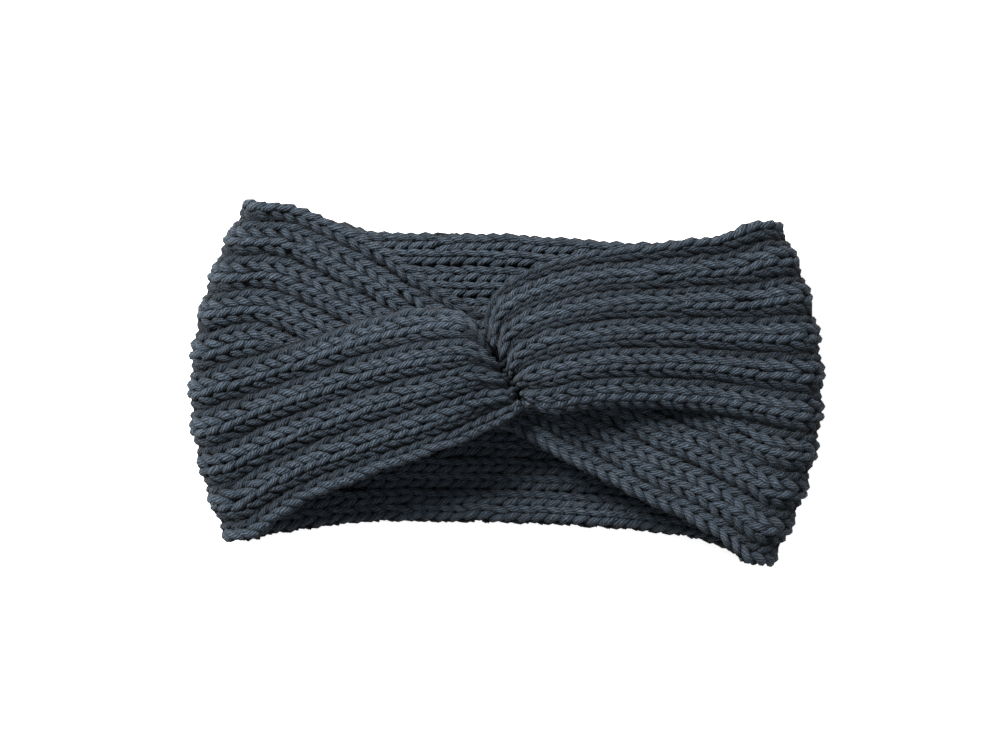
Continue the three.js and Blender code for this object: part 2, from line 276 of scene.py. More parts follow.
@dataclass
class Strip:
    """The middle surface of the knitted strip, from its left end round the back to its right.

    ease is the share of the surplus width that is laid away in the pleat under a lobe, and drop is
    how far the pleat reaches down from the crest, as a share of the lift.
    """

    sizes: StripSizes = field(default_factory=StripSizes)
    ease: float = 0.97
    drop: float = 0.7
    plain_points: int = 7
    left_guides: Guides = Guides(0.2, 0.4, 0.5, 0.6, 0.72)
    right_guides: Guides = Guides(0.25, 0.5, 0.61, 0.7, 0.8)

    def bow(self, y: np.ndarray, centre: float, outward: float) -> np.ndarray:
        """How far the fold at one side is drawn in at heights on the band.

        Args:
            y: the heights on the band.
            centre: the middle of the knit there.
            outward: below 0 at the left side.

        Returns:
            The distances.
        """
        sizes = self.sizes
        rise = sizes.left_bow_rise if outward < 0 else sizes.right_bow_rise
        return sizes.side_bow * ((y - centre - rise) / (sizes.strip_width / 2)) ** 2

    def front(self, row: dict[str, float], guides: Guides, near_is_low: bool) -> Section:
        """Builds a section of the front.

        Args:
            row: a row of one of the front tables.
            guides: where the section is guided.
            near_is_low: whether the lobe on top is the lower half of the strip.

        Returns:
            The section, with the fold that the row asks for.
        """
        sizes = self.sizes
        outward = math.copysign(1, row["x"])
        near, crest, far = (row[k] * sizes.strip_width for k in ("near", "crest", "far"))
        rise = row["lift"] * sizes.layer_pitch
        surplus = (1 - guides.crest) * sizes.strip_width * self.ease - abs(far - crest)
        deep = (surplus**2 - (self.drop * rise) ** 2) / (2 * surplus)
        tuck = mix(row["tuck"] * sizes.strip_width, deep, row["pleat"])
        valley = crest - math.copysign(1, far - near) * tuck
        foot = mix(valley, far, (guides.foot - guides.valley) / (1 - guides.valley))
        lobe = mix(near, crest, guides.lobe / guides.crest)
        brow = mix(near, crest, guides.brow / guides.crest)
        heights = rise * np.array(LOBE_HEIGHTS)
        across = np.array([near, lobe, brow, crest, valley, foot, far])
        shifts = np.array(NEAR_SHIFTS) * row["near_shift"]
        shifts += np.array(FAR_SHIFTS) * row["far_shift"]
        along = (row["x"] + shifts) * sizes.band_length / 2
        along -= outward * row["bow"] * self.bow(across, (near + far) / 2, outward)
        points = np.stack([along, across, sizes.front_level + heights], axis=1)
        return Section(points, guides.crest, row["wall"], near_is_low, row["relief"])

    def end(self, row: dict[str, float], guides: Guides, near_is_low: bool) -> Section:
        """Builds a section where the strip turns down into the crease.

        Args:
            row: a row of one of the end tables.
            guides: where the section is guided.
            near_is_low: whether this is the left end.

        Returns:
            The section, lying against the seam.
        """
        sizes = self.sizes
        top, base = np.array(sizes.crease_top), np.array(sizes.crease_foot)
        middle, up = (top + base) / 2, top - base
        right = np.array([up[1], -up[0]])
        length = float(np.linalg.norm(up))
        side = -1 if near_is_low else 1
        wall = sizes.knit_wall / 2 * row["wall"]
        seat = (sizes.drawn_gap / 2 + wall) / length

        def place(along: float, across: float, layers: float) -> np.ndarray:
            """A point by its place from the middle of the crease."""
            flat = middle + up * along + right * across
            return np.array([*flat, sizes.front_level + layers * sizes.layer_pitch])

        def between(share: float, bulge: float) -> np.ndarray:
            """A point of the lobe, beside the crease, by its share of the width and its height."""
            return place(
                mix(row["near_along"], row["crest_along"], share / guides.crest),
                side * (seat + row["crest_off"]),
                mix(row["near_height"], row["crest_height"], bulge),
            )

        near = place(row["near_along"], side * (seat + row["near_off"]), row["near_height"])
        crest = place(row["crest_along"], side * (seat + row["crest_off"]), row["crest_height"])
        far = place(row["far_along"], row["far_across"], row["far_height"])
        lobe, brow = between(guides.lobe, END_LOBE), between(guides.brow, END_BROW)
        valley, foot = mix(crest, far, END_VALLEY[0]), mix(crest, far, END_FOOT[0])
        valley[2] = mix(crest[2], far[2], END_VALLEY[1])
        foot[2] = mix(crest[2], far[2], END_FOOT[1])
        points = np.stack([near, lobe, brow, crest, valley, foot, far])
        return Section(points, guides.crest, row["wall"], near_is_low)

    def plain(self, x: float, low: float, high: float, bow: float, angle: float) -> Section:
        """Builds a section of the back layer or of a side fold.

        Args:
            x: place along the band of the section, or of the fold's middle.
            low: height on the band of the lower free edge, as a share of the strip's width.
            high: the same of the upper free edge.
            bow: share of the side fold's bow.
            angle: -90 on the back layer, and 90 where the fold meets the front.

        Returns:
            The section, from the lower free edge to the upper one.
        """
        sizes, turn, outward = self.sizes, math.radians(angle), float(np.sign(x))
        low, high = low * sizes.strip_width, high * sizes.strip_width
        y = np.linspace(low, high, self.plain_points)
        along = x - outward * bow * self.bow(y, (low + high) / 2, outward)
        along += outward * sizes.side_radius * math.cos(turn)
        level = sizes.side_level + sizes.side_radius * math.sin(turn)
        points = np.stack([along, y, np.full_like(y, level)], axis=1)
        return Section(points, crest_share=0.5, wall=1.0, near_is_low=True)

    def side_fold(self, front: dict, back: dict, outward: int) -> list[Section]:
        """Builds the turn at one side, from the front to the back layer.

        Args:
            front: the row of the front next to the fold.
            back: the row of the back layer next to the fold.
            outward: -1 at the left side, 1 at the right one.

        Returns:
            One section for each angle of the fold.
        """
        sizes = self.sizes
        low, high = sorted([front["near"], front["far"]])
        x = outward * (sizes.band_length / 2 - sizes.knit_wall / 2 - sizes.side_radius)
        shares = {angle: (90 - angle) / 180 for angle in SIDE_ANGLES}
        return [
            self.plain(x, mix(low, back["low"], share), mix(high, back["high"], share), 1, angle)
            for angle, share in shares.items()
        ]

    def sections(self) -> list[Section]:
        """Every section of the strip, in order."""
        left, right = named(FRONT_COLUMNS, LEFT_FRONT), named(FRONT_COLUMNS, RIGHT_FRONT)
        back, half = named(BACK_COLUMNS, BACK_LAYER), self.sizes.band_length / 2
        layer = [self.plain(r["x"] * half, r["low"], r["high"], r["bow"], -90) for r in back]
        return [
            *[self.end(r, self.left_guides, True) for r in named(END_COLUMNS, LEFT_END)][::-1],
            *[self.front(r, self.left_guides, True) for r in left][::-1],
            *self.side_fold(left[0], back[0], -1),
            *layer,
            *self.side_fold(right[0], back[-1], 1)[::-1],
            *[self.front(r, self.right_guides, False) for r in right],
            *[self.end(r, self.right_guides, False) for r in named(END_COLUMNS, RIGHT_END)],
        ]


@dataclass
class KnitGrid:
    """The strip's middle surface as an even grid of rows and shares, ready to be read anywhere.

    spans is how wide the strip is at a place, as a share of its flat width, and bends is how
    sharply it bends there across the strip and along it.
    """

    strip: Strip
    row_pitch: float = 4.7 * MM
    wales: int = 18
    steps_per_row: int = 6
    steps_across: int = 144
    steps_per_section: int = 30
    reach: float = 0.25
    nudge: float = 0.02
    last_cell: float = 1.001
    least_gap: float = 1e-9
    rows: int = field(init=False)
    points: np.ndarray = field(init=False)
    normals: np.ndarray = field(init=False)
    walls: np.ndarray = field(init=False)
    reliefs: np.ndarray = field(init=False)
    bends: np.ndarray = field(init=False)
    spans: np.ndarray = field(init=False)
    length: float = field(init=False)

    def __post_init__(self) -> None:
        """Reads the sections, spaces the rows evenly and measures the surface."""
        sections = self.strip.sections()
        shares = np.linspace(0, 1, self.steps_across + 1)
        across = np.stack([section.at(shares) for section in sections])
        spans = len(sections) - 1
        fine = np.linspace(0, spans, self.steps_per_section * spans + 1)
        surface = through(across, np.repeat(fine[:, None], len(shares), axis=1))
        steps = np.linalg.norm(np.diff(surface, axis=0), axis=2)
        run = np.concatenate([np.zeros((1, len(shares))), np.cumsum(steps, axis=0)])
        centre = surface.mean(axis=1)
        in_front = centre[:, 2] > self.strip.sizes.side_level
        run -= run[(np.abs(centre[:, 0]) + in_front).argmin()]
        self.length = float((run[-1] - run[0]).mean())
        first, last = np.quantile(run[0], self.reach), np.quantile(run[-1], 1 - self.reach)
        self.rows = round((last - first) / self.row_pitch)
        places = np.linspace(first, last, self.rows * self.steps_per_row + 1)
        knots = np.stack([np.interp(places, line, fine) for line in run.T], axis=1)
        self.points = through(across, knots)
        walls = np.array([section.wall for section in sections])
        numbers = np.arange(len(sections))
        self.walls = np.interp(knots, numbers, walls)
        reliefs = np.stack([section.relief(shares) for section in sections])
        columns = [np.interp(knot, numbers, relief) for knot, relief in zip(knots.T, reliefs.T)]
        self.reliefs = np.stack(columns, axis=1)
        inside = np.clip(knots, self.nudge, spans - self.nudge)
        along = through(across, inside + self.nudge) - through(across, inside - self.nudge)
        normals = np.cross(np.gradient(self.points, axis=1), along / norm(along))
        width = norm(normals)
        self.normals = normals / width
        wide = width[..., 0] * self.steps_across / self.strip.sizes.strip_width
        wale = self.steps_across // self.wales
        padded = np.pad(wide, ((0, 0), (2 * wale, 2 * wale)), mode="edge")
        total = np.cumsum(padded, axis=1)
        self.spans = (total[:, 4 * wale :] - total[:, : -4 * wale]) / (4 * wale)
        self.bends = np.stack([self.bend(1, wale), self.bend(0, self.steps_per_row // 2)])

    def bend(self, axis: int, reach: int) -> np.ndarray:
        """How sharply the surface bends towards its outer face along one axis of the grid.

        Args:
            axis: 0 along the strip, 1 across it.
            reach: how many steps away the neighbours are.

        Returns:
            The curvature, in 1/m.
        """
        pad = [(0, 0)] * 3
        pad[axis] = (reach, reach)
        wide = np.pad(self.points, pad, mode="edge")
        size = self.points.shape[axis]
        before = np.take(wide, np.arange(size), axis=axis)
        after = np.take(wide, np.arange(size) + 2 * reach, axis=axis)
        turn = before + after - 2 * self.points
        gap = np.maximum(((after - before) ** 2).sum(axis=2), self.least_gap)
        return 4 * (turn * self.normals).sum(axis=2) / gap

    def read(self, values: np.ndarray, row: np.ndarray, share: np.ndarray) -> np.ndarray:
        """Reads a field of the grid between its points.

        Args:
            values: the field, shaped (grid rows, grid shares) with any further axis.
            row: places along the strip, in rows.
            share: places across it, 0 to 1.

        Returns:
            The values there.
        """
        i = np.clip(row * self.steps_per_row, 0, values.shape[0] - self.last_cell)
        j = np.clip(share * self.steps_across, 0, values.shape[1] - self.last_cell)
        i0, j0 = i.astype(int), j.astype(int)
        fi, fj = i - i0, j - j0
        if values.ndim == 3:
            fi, fj = fi[..., None], fj[..., None]
        low = mix(values[i0, j0], values[i0, j0 + 1], fj)
        high = mix(values[i0 + 1, j0], values[i0 + 1, j0 + 1], fj)
        return mix(low, high, fi)


class Value:
    """A number on a shader socket. Arithmetic on it adds Math nodes."""

    def __init__(self, kit: "NodeKit", socket: NodeSocket) -> None:
        """Keeps the socket and the tree that it belongs to."""
        self.kit = kit
        self.socket = socket

    def math(self, operation: str, *others: "Value | float") -> "Value":
        """Adds one Math node.

        Args:
            operation: the node's operation.
            others: its further inputs, after this value.

        Returns:
            The result.
        """
        inputs = dict(enumerate((self, *others)))
        node = self.kit.node("ShaderNodeMath", {"operation": operation}, inputs)
        return Value(self.kit, node.outputs[0])

    def reflected(self, operation: str, other: float) -> "Value":
        """Adds one Math node with the number first."""
        inputs = {0: other, 1: self}
        node = self.kit.node("ShaderNodeMath", {"operation": operation}, inputs)
        return Value(self.kit, node.outputs[0])

    def __add__(self, other: "Value | float") -> "Value":
        """Adds."""
        return self.math("ADD", other)

    def __radd__(self, other: float) -> "Value":
        """Adds, with the number first."""
        return self.reflected("ADD", other)

    def __sub__(self, other: "Value | float") -> "Value":
        """Subtracts."""
        return self.math("SUBTRACT", other)

    def __rsub__(self, other: float) -> "Value":
        """Subtracts from a number."""
        return self.reflected("SUBTRACT", other)

    def __mul__(self, other: "Value | float") -> "Value":
        """Multiplies."""
        return self.math("MULTIPLY", other)

    def __rmul__(self, other: float) -> "Value":
        """Multiplies, with the number first."""
        return self.reflected("MULTIPLY", other)

    def __pow__(self, power: float) -> "Value":
        """Raises to a power."""
        return self.math("POWER", power)


@dataclass
class NodeKit:
    """Adds nodes to one material. roughness is that of its noise."""

    tree: ShaderNodeTree
    roughness: float = 0.6

    def node(self, kind: str, settings: dict | None = None, inputs: dict | None = None) -> Node:
        """Adds any node.

        Args:
            kind: the node's type.
            settings: attributes that are set first.
            inputs: values or links of its sockets, by name or number.

        Returns:
            The node.
        """
        made = self.tree.nodes.new(kind)
        for name, value in (settings or {}).items():
            setattr(made, name, value)
        for name, value in (inputs or {}).items():
            if isinstance(value, Value):
                self.tree.links.new(value.socket, made.inputs[name])
            elif isinstance(value, NodeSocket):
                self.tree.links.new(value, made.inputs[name])
            else:
                made.inputs[name].default_value = value
        return made

    def value(
        self, kind: str, output: str | int, settings: dict | None = None, inputs: dict | None = None
    ) -> Value:
        """Adds any node and takes one of its outputs as a value."""
        return Value(self, self.node(kind, settings, inputs).outputs[output])

    def noise(self, scale: float, where: NodeSocket, detail: float = 3) -> Value:
        """Noise from 0 to 1.

        Args:
            scale: its waves per metre.
            where: the place that it is read at.
            detail: how many finer layers it has.

        Returns:
            The noise.
        """
        inputs = {"Vector": where, "Scale": scale, "Detail": detail, "Roughness": self.roughness}
        return self.value("ShaderNodeTexNoise", "Fac", {}, inputs)

    def blend(self, share: Value, a: Colour | NodeSocket, b: Colour | NodeSocket) -> NodeSocket:
        """Mixes two colours.

        Args:
            share: how much of the second colour shows.
            a: the first colour, as numbers or a socket.
            b: the second one.

        Returns:
            The socket with the mixed colour.
        """
        settings = {"data_type": "RGBA", "clamp_factor": True}
        return self.node("ShaderNodeMix", settings, {0: share, 6: a, 7: b}).outputs[2]


def new_material(name: str, inputs: dict) -> tuple[Material, Node]:
    """Makes a material.

    Args:
        name: its name.
        inputs: values of its shader's inputs, by name.

    Returns:
        The material and its shader.
    """
    material = bpy.data.materials.new(name)
    material.use_nodes = True
    shader = material.node_tree.nodes["Principled BSDF"]
    for key, value in inputs.items():
        shader.inputs[key].default_value = value
    return material, shader


@dataclass(frozen=True)
class YarnFinish:
    """Plied woollen yarn: strands wound round it, painted shade in the grooves between the strands,
    mottled with fluff, and darker with painted shade where it lies deep in the knit.

    The scales are in waves per metre, and the depth of the painted shade is in millimetres. The
    patch, fluff and speck shares say how much each noise lightens the tone at random; the fourth
    share lightens it with painted light where the yarn lies high.
    """

    name: str = "slate_yarn"
    # shade and light are the ends of the yarn's tone, which differs at random with the mottle and is
    # raised with painted light where the yarn lies high.
    shade: Colour = (0.018, 0.026, 0.036, 1)
    light: Colour = (0.092, 0.122, 0.158, 1)
    # gap is a near-black painted shade colour, for the grooves between strands and for the yarn deep
    # in the knit.
    gap: Colour = (0.0014, 0.0030, 0.0048, 1)
    strands: int = 8
    # How dark the painted shade in the grooves between strands is.
    painted_groove_shade: float = 0.68
    strand_depth: float = 0.45 * MM
    strand_relief: float = 0.6
    speck_relief: float = 1.3
    fluff_relief: float = 0.6
    lay_slope: float = 0.7
    wander: float = 1.6
    wander_scale: float = 420
    # Painted shade by depth in the knit: the depth in millimetres past which the yarn is no darker,
    # how the shade grows with depth, and how strong it is.
    painted_shade_depth: float = 3.6
    painted_shade_power: float = 1.4
    painted_depth_shade: float = 0.8
    patch_scale: float = 150
    fluff_scale: float = 900
    speck_scale: float = 2400
    patch_share: float = 0.8
    fluff_share: float = 1.0
    speck_share: float = 1.3
    # Painted light: how much the tone is raised where the yarn lies high in the knit.
    painted_depth_light_share: float = 0.9
    tone_drop: float = 1.66
    roughness: float = 0.9
    sheen: float = 0.05
    sheen_roughness: float = 0.6
    specular: float = 0.05

    def build(self) -> Material:
        """Makes the material.

        Returns:
            The material, for yarn that has the YarnMap and its depth in the knit.
        """
        inputs = {"Roughness": self.roughness, "Specular IOR Level": self.specular}
        inputs |= {"Sheen Weight": self.sheen, "Sheen Roughness": self.sheen_roughness}
        material, shader = new_material(self.name, inputs)
        kit = NodeKit(material.node_tree)
        where = kit.node("ShaderNodeTexCoord").outputs["Object"]
        turn = kit.node("ShaderNodeUVMap", {"uv_map": "YarnMap"}).outputs[0]
        split = kit.node("ShaderNodeSeparateXYZ", {}, {0: turn})
        along, around = Value(kit, split.outputs[0]), Value(kit, split.outputs[1])
        wander = kit.noise(self.wander_scale, where, detail=1)
        lay = (around + along * self.lay_slope) * self.strands + wander * self.wander
        crest = (lay * (2 * math.pi)).math("SINE") * 0.5 + 0.5
        # Painted shade by depth: 1 where the yarn lies on top, falling to 0 where it lies deep.
        sunk = kit.value("ShaderNodeAttribute", "Fac", {"attribute_name": "sunk"})
        painted_depth_light = (1 - sunk * (1 / self.painted_shade_depth)).math("MAXIMUM", 0) ** self.painted_shade_power
        patches = kit.noise(self.patch_scale, where)
        specks = kit.noise(self.speck_scale, where)
        fluff = kit.noise(self.fluff_scale, where, detail=2)
        mottle = patches * self.patch_share + specks * self.speck_share + fluff * self.fluff_share
        # The tone: random mottle, plus painted light where the yarn lies high.
        tone = mottle + painted_depth_light * self.painted_depth_light_share - self.tone_drop
        body = kit.blend(tone, self.shade, self.light)
        # Painted shade: the colour goes towards the gap colour in the grooves between strands and,
        # more, where the yarn lies deep.
        groove_unshaded = crest * self.painted_groove_shade + (1 - self.painted_groove_shade)
        unshaded = groove_unshaded * (painted_depth_light * self.painted_depth_shade + (1 - self.painted_depth_shade))
        colour = kit.blend(unshaded, self.gap, body)
        relief = crest * self.strand_relief + specks * self.speck_relief
        relief = relief + fluff * self.fluff_relief
        heights = {"Height": relief, "Distance": self.strand_depth, "Strength": 1.0}
        bump = kit.node("ShaderNodeBump", {}, heights)
        kit.tree.links.new(colour, shader.inputs["Base Color"])
        kit.tree.links.new(bump.outputs[0], shader.inputs["Normal"])
        return material


@dataclass(frozen=True)
class CoreFinish:
    """The inside of the knit, seen only down the gaps between stitches, in painted shade:
    darker than the yarn.
    """

    name: str = "knit_inside_painted_shade"
    # Painted shade: darker than the yarn; the fibre noise mixes the two colours at random.
    colour: Colour = (0.014, 0.019, 0.025, 1)
    shade: Colour = (0.007, 0.0095, 0.0125, 1)
    fibre_scale: float = 1500
    roughness: float = 1
    specular: float = 0.1

    def build(self) -> Material:
        """Makes the material.

        Returns:
            The material.
        """
        inputs = {"Roughness": self.roughness, "Specular IOR Level": self.specular}
        material, shader = new_material(self.name, inputs)
        kit = NodeKit(material.node_tree)
        where = kit.node("ShaderNodeTexCoord").outputs["Object"]
        colour = kit.blend(kit.noise(self.fibre_scale, where), self.colour, self.shade)
        kit.tree.links.new(colour, shader.inputs["Base Color"])
        return material


def mesh_piece(
    name: str, points: np.ndarray, quads: np.ndarray, uv: np.ndarray | None = None
) -> Object:
    """Makes a smooth mesh piece from arrays.

    Args:
        name: the piece's name.
        points: its vertices, shaped (n, 3).
        quads: its faces, four vertex numbers each.
        uv: two numbers for each corner of each face, if it has a yarn map.

    Returns:
        The object, linked into the scene.
    """
    mesh = bpy.data.meshes.new(name)
    mesh.vertices.add(len(points))
    mesh.vertices.foreach_set("co", points.astype(np.float32).ravel())
    mesh.loops.add(quads.size)
    mesh.loops.foreach_set("vertex_index", quads.astype(np.int32).ravel())
    mesh.polygons.add(len(quads))
    mesh.polygons.foreach_set("loop_start", np.arange(0, quads.size, 4, dtype=np.int32))
    mesh.polygons.foreach_set("use_smooth", np.ones(len(quads), dtype=bool))
    if uv is not None:
        layer = mesh.uv_layers.new(name="YarnMap")
        layer.data.foreach_set("uv", uv.astype(np.float32).ravel())
    mesh.update(calc_edges=True)
    mesh.validate()
    piece = bpy.data.objects.new(name, mesh)
    bpy.context.scene.collection.objects.link(piece)
    return piece


@dataclass
class YarnLines:
    """Centre lines of yarn, each shaped (lines, points), and how the yarn lies along them."""

    points: np.ndarray
    outward: np.ndarray
    radius: np.ndarray
    depth: np.ndarray

    def __getitem__(self, chosen: slice) -> "YarnLines":
        """Takes some of the lines."""
        return YarnLines(*(part[chosen] for part in self.parts()))

    def parts(self) -> tuple:
        """The four arrays."""
        return self.points, self.outward, self.radius, self.depth


def yarn_mesh(name: str, yarn: YarnLines, sides: int, closed: bool) -> Object:
    """Sweeps round yarn along many lines at once.

    Args:
        name: the piece's name.
        yarn: the lines.
        sides: how many sides the yarn has.
        closed: whether each line runs back into its start.

    Returns:
        The piece, with a map round the yarn and each point's depth in the knit.
    """
    lines, outward, radius, depth = yarn.parts()
    count, size = lines.shape[:2]
    if closed:
        forward = np.roll(lines, -1, axis=1) - np.roll(lines, 1, axis=1)
    else:
        forward = np.gradient(lines, axis=1)
    forward /= norm(forward)
    first = outward - (outward * forward).sum(axis=2, keepdims=True) * forward
    first /= norm(first)
    second = np.cross(forward, first)
    angle = np.linspace(0, 2 * math.pi, sides, endpoint=False)
    ring = first[:, :, None] * np.cos(angle)[:, None] + second[:, :, None] * np.sin(angle)[:, None]
    points = lines[:, :, None] + ring * radius[:, :, None, None]
    spans = size if closed else size - 1
    i, j = np.arange(spans), np.arange(sides)
    a = (i[:, None] * sides + j).ravel()
    b = (i[:, None] * sides + (j + 1) % sides).ravel()
    step = (((i + 1) % size)[:, None] * sides).repeat(sides, axis=1).ravel()
    near, over = np.tile(j, spans), np.tile((j + 1) % sides, spans)
    quads = np.stack([a, step + near, step + over, b], axis=1)
    offsets = np.arange(count) * size * sides
    quads = (quads[None] + offsets[:, None, None]).reshape(-1, 4)
    following = np.roll(lines, -1, axis=1) if closed else lines[:, 1:]
    leading = lines if closed else lines[:, :-1]
    steps = np.linalg.norm(following - leading, axis=2)
    run = np.concatenate([np.zeros((count, 1)), np.cumsum(steps, axis=1)], axis=1)
    run /= 2 * math.pi * float(np.median(radius))
    start = np.repeat(run[:, :spans, None], sides, axis=2).reshape(-1)
    finish = np.repeat(run[:, 1 : spans + 1, None], sides, axis=2).reshape(-1)
    low = np.tile(j / sides, count * spans)
    high = low + 1 / sides
    uv = np.stack([start, low, finish, low, finish, high, start, high], axis=1)
    piece = mesh_piece(name, points.reshape(-1, 3), quads, uv)
    # Each point's depth in the knit, which the yarn's material turns into painted shade.
    sunk = depth[:, :, None] + radius[:, :, None] * (1 - np.cos(angle))
    layer = piece.data.attributes.new("sunk", "FLOAT", "POINT")
    layer.data.foreach_set("value", (sunk / MM).astype(np.float32).ravel())
    return piece


@dataclass
class RibKnit:
    """The knitting itself: courses of yarn, each looped across both faces of the strip.

    Lengths within a loop are in wales across the strip and in rows along it. A face is crowded
    where it has less of its full width than easy_width.
    """

    grid: KnitGrid
    material: Material
    yarn_radius: float = 1.62 * MM
    least_radius: float = 1.2 * MM
    points_per_loop: int = 12
    sides: int = 7
    turn_points: int = 4
    neck: float = 0.255
    reach: float = 0.95
    slant: float = 0.12
    dip: float = 1.35 * MM
    valley_depth: float = 2.2 * MM
    valley_power: float = 2.2
    least_top: float = -0.2 * MM
    inner_relief: float = 0.25
    end_margin: float = 0.15
    bend_part: float = 3
    least_room: float = 0.6
    most_room: float = 1.8
    easy_width: float = 0.84
    crowding: float = 2
    most_crowded: float = 0.5
    fold_depth: float = 1.6 * MM
    fold_middle: float = 0.4
    firmness: float = 0.25
    least_bend: float = 1e-6
    edge_bulge: float = 0.8
    edge_depth: float = 0.4
    pinch: float = 0.95
    plumpness: float = 0.1
    unevenness: float = 0.055
    seed: int = 7

    def face_course(self, row: np.ndarray, face: Face, rng: np.random.Generator) -> tuple:
        """Lays the loops of one face.

        Args:
            row: the course's numbers, shaped (courses, 1).
            face: which face of the knit.
            rng: source of the knit's unevenness.

        Returns:
            Places along the strip in rows, shares across it, heights above the rib's crest,
            depths of the valleys and radii, each shaped (courses, points), from the lower edge to
            the upper one.
        """
        courses = len(row)
        wales = self.grid.wales
        turns = np.arange(wales * self.points_per_loop) / self.points_per_loop
        t = turns * 2 * math.pi
        wale = np.floor(turns).astype(int)
        jitter = rng.normal(0, self.unevenness, (3, courses, wales))[:, :, wale]
        across = turns + self.neck * np.sin(2 * t) + jitter[0]
        along = row + 0.5 + self.reach * np.cos(t) * (1 + jitter[1])
        lean = self.slant if face is Face.OUTER else 0
        across = across + lean * (along - row - 0.5)
        # A rib is two wales, and one of the inner face lies between two of the outer one.
        shift = 0 if face is Face.INNER else 1
        pair = (np.clip(across, 0, wales) + shift) / 2
        in_pair = (pair - np.floor(pair)) * 2 - 1
        pinched = (np.floor(pair) * 2 + 1 + in_pair * self.pinch) - shift
        share = np.clip(pinched / wales, 0, 1)
        swell = -np.cos(2 * t)
        crown = self.yarn_radius * (1 + jitter[2]) * (1 - self.plumpness * (1 - swell))
        height = (swell - 1) * self.dip
        valley = np.abs(in_pair) ** self.valley_power * self.valley_depth
        return along, share, height, valley, crown

    def squeeze(self, along: np.ndarray, share: np.ndarray, face: Face) -> np.ndarray:
        """Finds the room across a face.

        Args:
            along: places along the strip, in rows.
            share: places across it.
            face: which face of the knit.

        Returns:
            The width there as a share of the full width, wider on the outside of a bend.
        """
        span = self.grid.read(self.grid.spans, along, share)
        bend = self.grid.read(self.grid.bends[0], along, share) * face.value
        wider = 1 - bend * self.grid.strip.sizes.knit_wall / self.bend_part
        return span * np.clip(wider, self.least_room, self.most_room)

    def courses(self, rng: np.random.Generator) -> YarnLines:
        """Lays every course, up the outer face, round the edge and down the inner one.

        Args:
            rng: source of the knit's unevenness.

        Returns:
            The lines, one for each course.
        """
        grid, sizes = self.grid, self.grid.strip.sizes
        column = np.arange(grid.rows, dtype=float)[:, None]
        parts = []
        for face in (Face.OUTER, Face.INNER):
            along, share, height, valley, crown = self.face_course(column, face, rng)
            along = np.clip(along, self.end_margin, grid.rows - self.end_margin)
            squeeze = self.squeeze(along, share, face)
            # Where it is crowded, every second wale rises and the others sink.
            fold = (share * grid.wales - 0.5) * math.pi
            crowd = np.clip(self.crowding * (self.easy_width - squeeze), 0, self.most_crowded)
            share = np.clip(share + crowd * np.sin(fold) / math.pi / grid.wales, 0, 1)
            middle = grid.read(grid.points, along, share)
            normal = grid.read(grid.normals, along, share)
            normal /= norm(normal)
            wall = grid.read(grid.walls, along, share)
            room_across = squeeze * (1 + crowd * np.cos(fold))
            thin = self.firmness + (1 - self.firmness) * room_across
            radius = crown * np.clip(thin, self.least_radius / self.yarn_radius, 1)
            bends = [grid.read(bend, along, share) * face.value for bend in grid.bends]
            inward = np.maximum(np.maximum(*bends), self.least_bend)
            relief = grid.read(grid.reliefs, along, share) * wall**2
            relief = relief if face is Face.OUTER else relief * self.inner_relief
            full = sizes.knit_wall / 2 * wall**0.5 - radius
            top = np.maximum(full + height - valley * relief * (1 - crowd), self.least_top)
            top = np.minimum(top, sizes.fold_room / inward)
            rise = crowd * self.fold_depth * (np.cos(fold) - self.fold_middle)
            line = middle + normal * (top * face.value + rise)[..., None]
            depth = full - top + crowd * self.fold_depth * (1 - np.cos(fold))
            parts.append((line, normal * face.value, radius, depth))
        outer, inner = parts
        inner = tuple(part[:, ::-1] for part in inner)
        turns = self.edge_turn(outer, inner), self.edge_turn(inner, outer)
        pieces = zip(outer, turns[0], inner, turns[1])
        return YarnLines(*(np.concatenate(piece, axis=1) for piece in pieces))

    def edge_turn(self, one: tuple, other: tuple) -> tuple:
        """Takes the yarn round a free edge.

        Args:
            one: the lines of the face that it comes from.
            other: the lines of the face that it goes to.

        Returns:
            The lines of the turn.
        """
        start, end = one[0][:, -1], other[0][:, 0]
        away = one[0][:, -1] - one[0][:, -4]
        away -= (away * one[1][:, -1]).sum(axis=1, keepdims=True) * one[1][:, -1]
        away /= norm(away)
        shares = (np.arange(self.turn_points) + 1) / (self.turn_points + 1)
        lines, ups = [], []
        for share in shares:
            bulge = math.sin(share * math.pi)
            past = away * self.yarn_radius * self.edge_bulge * bulge
            lines.append(mix(start, end, share) + past)
            up = one[1][:, -1] * math.cos(share * math.pi) + away * bulge
            ups.append(up / norm(up))
        radius = np.repeat(one[2][:, -1:], self.turn_points, axis=1)
        depth = radius * self.edge_depth
        return np.stack(lines, axis=1), np.stack(ups, axis=1), radius, depth

    def build(self) -> list[Object]:
        """Knits the strip in four lengths.

        Returns:
            The four pieces, each standing for the knitted band.
        """
        rng = np.random.default_rng(self.seed)
        yarn = self.courses(rng)
        names = ("knit_left_front", "knit_left_back", "knit_right_back", "knit_right_front")
        bounds = np.linspace(0, self.grid.rows, len(names) + 1).astype(int)
        pieces = []
        for name, low, high in zip(names, bounds, bounds[1:]):
            piece = yarn_mesh(name, yarn[low:high], self.sides, True)
            piece.data.materials.append(self.material)
            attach(piece, "root")
            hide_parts("knit_band")
            pieces.append(piece)
        return pieces


